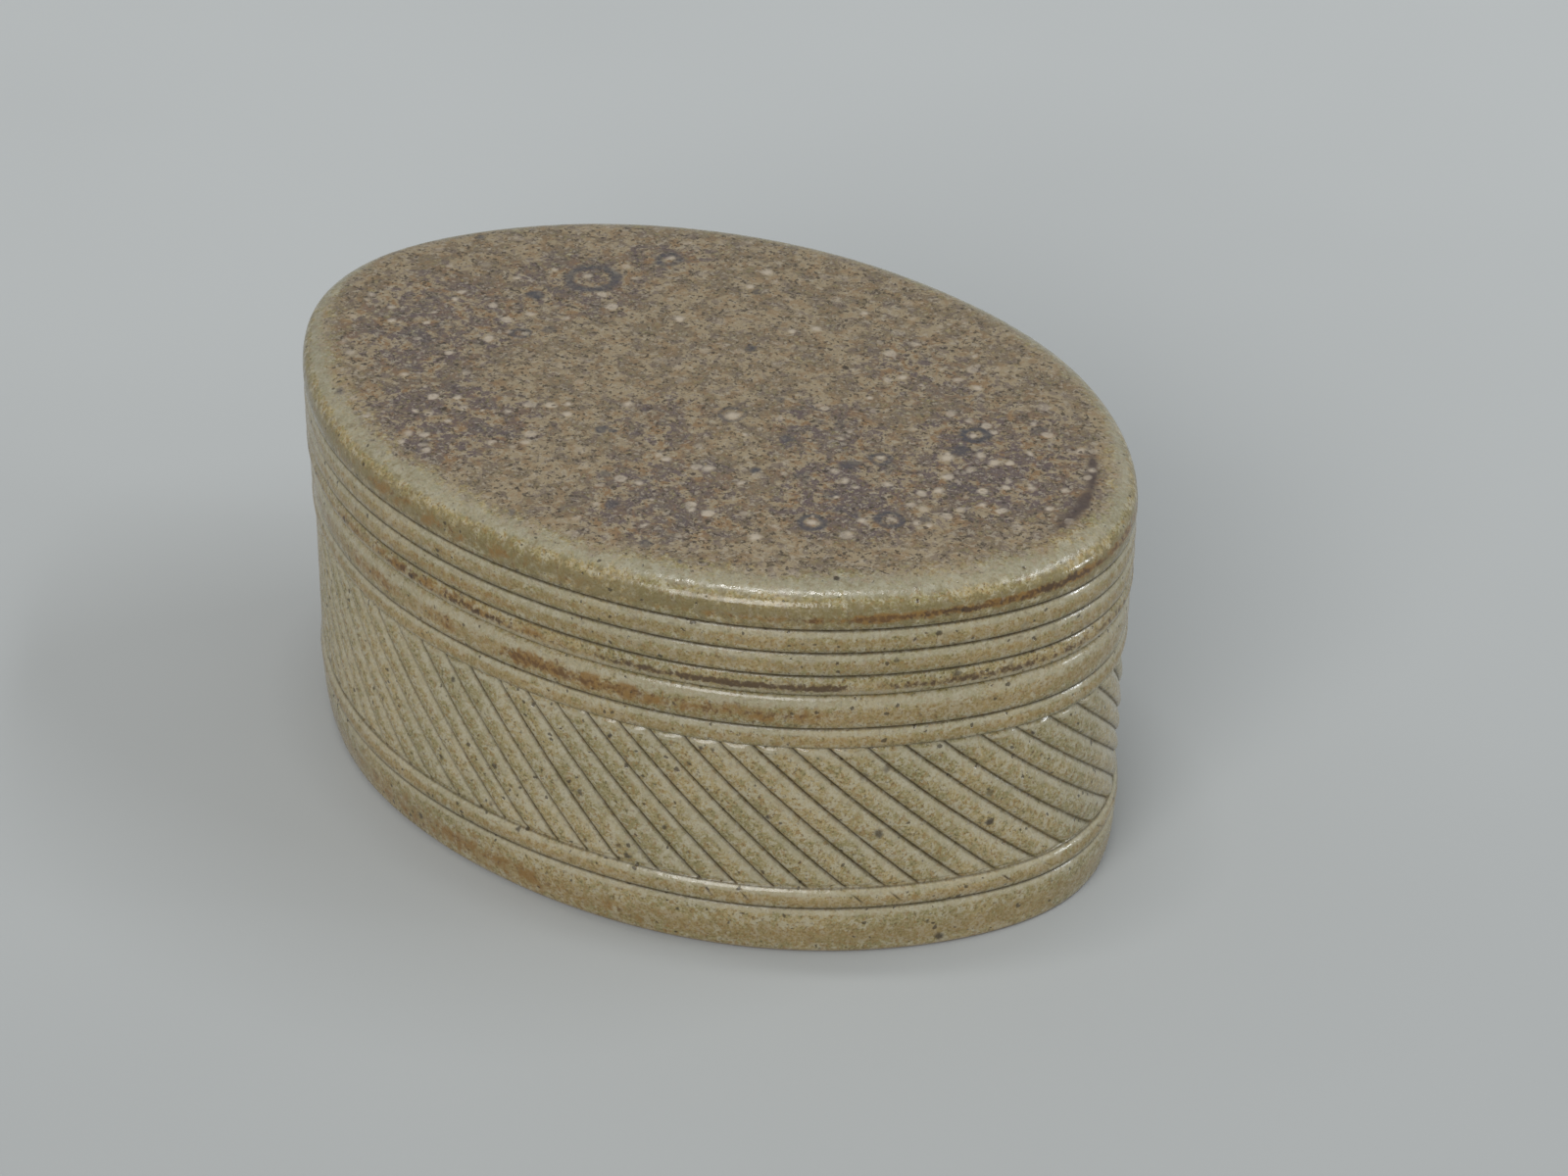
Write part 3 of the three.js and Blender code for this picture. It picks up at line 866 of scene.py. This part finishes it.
# Dark pits on the sides: place round the outline, height and radius in mm, and strength
BODY_PITS = (
    (0.7907, 37.2, 0.6, 0.9), (0.7907, 35.6, 0.6, 0.9), (0.7938, 16.2, 0.8, 0.6),
    (0.7982, 14.7, 0.7, 0.8), (0.856, 26.8, 0.7, 0.8), (0.878, 28.5, 0.5, 0.8),
    (0.8931, 34.8, 1, 0.75), (0.8994, 23.8, 1.2, 0.8), (0.7794, 15.5, 0.6, 0.7),
    (0.8139, 22, 0.6, 0.8), (0.8215, 16, 0.6, 0.8), (0.7769, 24.5, 0.9, 0.7),
    (0.824, 35.2, 0.6, 0.7), (0.9452, 23.2, 0.9, 0.9), (0.9885, 17.2, 0.7, 0.9),
    (0.9025, 36.2, 1.1, 0.6), (0.9446, 28.8, 1, 0.5), (0.9628, 37.8, 0.7, 0.9),
    (0.9471, 37.8, 0.6, 0.7), (0.9144, 46.2, 0.7, 0.8), (0.9257, 1.9, 1.3, 0.85),
    (0.9326, 10, 0.7, 0.8), (0.829, 38.5, 0.6, 0.8), (0.8334, 38.5, 0.6, 0.8),
    (0.7134, 35.8, 0.6, 0.8), (0.7354, 23.2, 0.7, 0.8), (0.7047, 19, 0.7, 0.8),
    (0.7329, 15, 0.7, 0.8), (0.7467, 12.5, 0.7, 0.8), (0.69, 4.2, 1, 0.8), (0.21, 31, 0.9, 0.8),
    (0.34, 20.5, 0.8, 0.8), (0.47, 27, 0.7, 0.8), (0.56, 8, 0.9, 0.7),
)
LID_PITS = (
    (0.9283, 53.2, 0.9, 0.7), (0.9044, 57, 0.7, 0.6), (0.9207, 61.2, 0.6, 0.8),
    (0.31, 60.5, 0.7, 0.7), (0.16, 56, 0.6, 0.8),
)


def pit_marks(pits, oval, face):
    """The pits as points on the wall at its inset. Radius and strength stay."""
    marks = []
    for place, height, radius, strength in pits:
        x, y = oval.at_place(np.array([place]), face)
        marks.append(((x[0], y[0], height * MM), radius, strength))
    return marks


def salt_glaze(name, colours, pits, lid_top=None):
    """Salt-glazed stoneware. lid_top is the height of the lid's top, for the marks on it."""
    material = bpy.data.materials.new(name)
    nodes = Nodes(material)
    ground = ground_colour(nodes, colours)
    mottle = nodes.noise(620, 3, 0.65, 0.4, offset=(0.4, 0.9, 0.7))
    crumbs = nodes.noise(1000, 3, 0.6, 0.3, offset=(0.6, 0.1, 0.8))
    # Each coat's attribute, how far the mottle breaks its edges up, its strength and colour
    # The film coat also paints the pale strips on the bands and flutes, as painted highlights
    coats = [("warm", 3.0, 0.42, colours.ochre), ("film", 2.2, 0.55, colours.film)]
    if lid_top is not None:
        # The mist coat is partly the rim's pale glaze and partly a painted reflection of the window
        coats += [("mist", 3.0, 0.62, colours.mist), ("mustard", 3.0, 0.75, colours.mustard)]
    for attribute, amount, strength, coat in coats:
        mask = broken_up(nodes, nodes.attribute(attribute), mottle, amount, strength)
        ground = nodes.mixed(mask, ground, coat)
    blotches = nodes.noise(330, 4, 0.7, 0.5, offset=(0.7, 0.5, 0.3))
    stained = nodes.attribute("rust")
    rust = broken_up(nodes, stained, blotches, 4.6, 0.80)
    rust = nodes.times(rust, nodes.between(stained, 0.02, 0.35))
    ground = nodes.mixed(rust, ground, colours.rust)
    burnt = broken_up(nodes, nodes.math("SUBTRACT", stained, 0.28), crumbs, 3.4, 0.85)
    ground = nodes.mixed(burnt, ground, colours.burnt)
    dots = None
    if lid_top is not None:
        ground, dots, top = top_marks(nodes, ground, colours, lid_top)
        stain = nodes.attribute("stain")
        kept = nodes.between(stain, 0.02, 0.30)
        stain = nodes.times(broken_up(nodes, stain, crumbs, 3.0, 0.90), kept)
        ground = nodes.mixed(stain, ground, colours.stain)

    uneven = nodes.stirred(900, 0.0012)
    small = specks(nodes, 600, 0.20, 0.50, (0.1, 0.3, 0.2), uneven)
    large = specks(nodes, 150, 0.10, 0.30, (0.7, 0.1, 0.4), uneven)
    iron = nodes.most(nodes.times(small, 0.75), nodes.times(large, 0.90),
                      spots(nodes, uneven, pits, 0.3))
    ground = nodes.mixed(iron, ground, colours.umber)
    # The cut lines are darkened with umber, partly as iron in the cuts and partly as painted shade
    uneven_darkness = nodes.between(nodes.noise(900, 2), 0.30, 0.55, 0.80, 1.0)
    cut = nodes.times(nodes.attribute("cut"), uneven_darkness)
    ground = nodes.mixed(cut, ground, colours.umber)
    # Seams are darkened with umber as painted shade where lid and body meet
    seam = nodes.times(nodes.attribute("seam"), 0.8)
    ground = nodes.mixed(seam, ground, colours.umber)

    clay = nodes.between(nodes.noise(1500, 4, 0.6), 0.35, 0.65)
    clay = nodes.mixed(clay, colours.bare_clay, colours.damp_clay)
    bare = nodes.attribute("bare")
    ground = nodes.mixed(bare, ground, clay)

    peel = nodes.noise(760, 2.5, 0.5)
    grain = nodes.noise(2600, 2, 0.5)
    normal = nodes.bump(peel, 0.13 * MM, 0.7)
    normal = nodes.bump(grain, 0.03 * MM, 0.5, normal)
    normal = nodes.bump(nodes.times(iron, -1.0), 0.12 * MM, 0.7, normal)
    if dots is not None:
        normal = nodes.bump(dots, 0.15 * MM, 0.6, normal)

    gloss = nodes.noise(480, 3, 0.6, offset=(0.9, 0.4, 0.3))
    gloss = nodes.between(gloss, 0.35, 0.65, 0.13, 0.30)
    rough = nodes.most(gloss, nodes.times(bare, 0.85), nodes.times(cut, 0.7))
    if lid_top is not None:
        rough = nodes.most(rough, nodes.times(top, 0.42))
    nodes.finish({"Base Color": ground, "Roughness": rough, "Normal": normal, "IOR": 1.5,
                  "Specular IOR Level": nodes.between(cut, 0.1, 0.9, 0.5, 0.15)})
    return material


def dress(obj, material, node, body):
    """Gives a finished piece its material and its place in the frame."""
    obj.data.materials.clear()
    obj.data.materials.append(material)
    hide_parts(node)
    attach(obj, body)


class STONEWARE_OT_body(bpy.types.Operator):
    """Models the body: foot, lines, slanting flutes, roll, inner flange and hollow"""

    bl_idname = "stoneware.body"
    bl_label = "Body"

    def execute(self, context):
        sizes = context.scene.box_sizes
        oval = Oval(sizes)
        shape = BodyShape(sizes)
        obj = raise_loops("fluted_body", shape.steps, FLUTES * len(ACROSS_SHARES), oval)
        carve_body(obj, sizes, oval, shape)
        pits = pit_marks(BODY_PITS, oval, shape.panel_face)
        material = salt_glaze("body_salt_glaze", context.scene.glaze_colours, pits)
        dress(obj, material, "box_body", "box")
        return {"FINISHED"}


class STONEWARE_OT_lid(bpy.types.Operator):
    """Models the lid: flat top with a soft shoulder, three lines, hollow underneath"""

    bl_idname = "stoneware.lid"
    bl_label = "Lid"

    def execute(self, context):
        sizes = context.scene.box_sizes
        oval = Oval(sizes)
        shape = LidShape(sizes, BodyShape(sizes))
        obj = raise_loops("cap_lid", shape.steps, LID_COLUMNS, oval)
        carve_lid(obj, oval, shape)
        pits = pit_marks(LID_PITS, oval, shape.face)
        material = salt_glaze("lid_salt_glaze", context.scene.glaze_colours, pits, shape.high)
        dress(obj, material, "lid", "lid")
        return {"FINISHED"}


# Lights: name, turn from the camera's and height over the horizon in degrees, distance and size
# in metres, watts and tint
COOL_TINT = (0.90, 0.95, 1.0)
LIGHTS = (
    ("overhead", -111, 85.7, 1.5, (0.5, 0.07), 3.6, (1, 1, 1)),
    ("front", -20, 32, 1.7, (0.9, 0.9), 16.2, (1, 1, 1)),
    ("window", 81, 6, 1.6, (0.20, 0.26), 4.6, COOL_TINT),
    ("skylight", 88, 52, 1.6, (0.15, 1.0), 6.0, COOL_TINT),
)
LIT_HEIGHT = 0.04
ROOM_TINT = (0.95, 0.98, 1.0)
ROOM_STRENGTH = 0.39
SENSOR_WIDTH = 36


def direction(turn, tilt):
    """Out from the middle, turned round it from the front and tilted up."""
    return Vector((math.sin(turn) * math.cos(tilt), -math.cos(turn) * math.cos(tilt),
                   math.sin(tilt)))


def level_right(turn):
    """To the right, seen from that turn."""
    return Vector((math.cos(turn), math.sin(turn), 0))


class STONEWARE_OT_stage(bpy.types.Operator):
    """Sets the pale floor, the soft light and the camera at the photograph's angle"""

    bl_idname = "stoneware.stage"
    bl_label = "Stage"

    def execute(self, context):
        stage = context.scene.stage_settings
        self.lay_floor(stage)
        self.light_up(context)
        self.place_camera(context, stage)
        context.scene.view_settings.view_transform = "Standard"
        return {"FINISHED"}

    def lay_floor(self, stage):
        deselect()
        bpy.ops.mesh.primitive_plane_add(size=6, location=(0, 0, 0))
        floor = bpy.context.active_object
        floor.name = "floor"
        material = bpy.data.materials.new("pale_floor")
        nodes = Nodes(material)
        # Painted light: the floor's colour is a little paler at the back, where less of the light
        # falls
        away = (-math.sin(stage.azimuth), math.cos(stage.azimuth), 0)
        painted_back_light = nodes.vector("DOT_PRODUCT", nodes.place, away, "Value")
        painted_back_light = nodes.between(painted_back_light, -0.45, 0.55, 0.80, 1.38)
        cloudy = nodes.between(nodes.noise(5, 3, 0.5), 0.3, 0.7, 0.98, 1.02)
        tone = nodes.times(painted_back_light, cloudy)
        tone = nodes.mixed(1.0, stage.floor, tone, "MULTIPLY")
        nodes.finish({"Base Color": tone, "Roughness": 0.75})
        floor.data.materials.append(material)

    def light_up(self, context):
        world = bpy.data.worlds.new("soft_room")
        world.use_nodes = True
        background = world.node_tree.nodes["Background"]
        background.inputs["Color"].default_value = (*ROOM_TINT, 1)
        background.inputs["Strength"].default_value = ROOM_STRENGTH
        context.scene.world = world
        turn = context.scene.stage_settings.azimuth
        for name, aside, height, away, size, power, tint in LIGHTS:
            data = bpy.data.lights.new(name, "AREA")
            data.shape = "RECTANGLE"
            data.size, data.size_y = size
            data.energy = power
            data.color = tint
            towards = direction(turn + math.radians(aside), math.radians(height))
            up = towards.cross(level_right(turn)).normalized()
            place = Vector((0, 0, LIT_HEIGHT)) + towards * away
            self.stand(context, name, data, place, (up.cross(towards), up, towards))

    def place_camera(self, context, stage):
        right = level_right(stage.azimuth)
        back = direction(stage.azimuth, stage.elevation)
        up = back.cross(right)
        middle = Vector((0, 0, lid_high[2] / 2))
        place = middle + back * stage.distance + right * stage.aside - up * stage.below
        leaning_right = right * math.cos(stage.roll) + up * math.sin(stage.roll)
        leaning_up = up * math.cos(stage.roll) - right * math.sin(stage.roll)
        data = bpy.data.cameras.new("camera")
        data.lens = stage.lens
        data.sensor_width = SENSOR_WIDTH
        data.sensor_fit = "HORIZONTAL"
        context.scene.camera = self.stand(
            context, "camera", data, place, (leaning_right, leaning_up, back))

    def stand(self, context, name, data, place, axes):
        """A light or camera at a place, looking against the last of its three axes."""
        obj = bpy.data.objects.new(name, data)
        context.scene.collection.objects.link(obj)
        obj.matrix_world = Matrix.Translation(place) @ Matrix(axes).transposed().to_4x4()
        return obj


class STONEWARE_PT_panel(bpy.types.Panel):
    """Lists the box's operators and sizes"""

    bl_idname = "STONEWARE_PT_panel"
    bl_label = "Oval Stoneware Box"
    bl_space_type = "VIEW_3D"
    bl_region_type = "UI"
    bl_category = "Stoneware"

    def draw(self, context):
        layout = self.layout
        for operator in OPERATORS:
            layout.operator(operator.bl_idname)
        for settings in (context.scene.box_sizes, context.scene.glaze_colours,
                         context.scene.stage_settings):
            column = layout.column()
            for name in settings.__annotations__:
                column.prop(settings, name)


OPERATORS = (STONEWARE_OT_body, STONEWARE_OT_lid, STONEWARE_OT_stage)
GROUPS = (BoxSizes, GlazeColours, StageSettings)


def register():
    for group in (*GROUPS, *OPERATORS, STONEWARE_PT_panel):
        bpy.utils.register_class(group)
    bpy.types.Scene.box_sizes = bpy.props.PointerProperty(type=BoxSizes)
    bpy.types.Scene.glaze_colours = bpy.props.PointerProperty(type=GlazeColours)
    bpy.types.Scene.stage_settings = bpy.props.PointerProperty(type=StageSettings)


def unregister():
    del bpy.types.Scene.stage_settings
    del bpy.types.Scene.glaze_colours
    del bpy.types.Scene.box_sizes
    for group in (STONEWARE_PT_panel, *reversed(OPERATORS), *reversed(GROUPS)):
        bpy.utils.unregister_class(group)


def main():
    register()
    bpy.ops.stoneware.body()
    bpy.ops.stoneware.lid()
    bpy.ops.stoneware.stage()


if __name__ == "__main__":
    main()
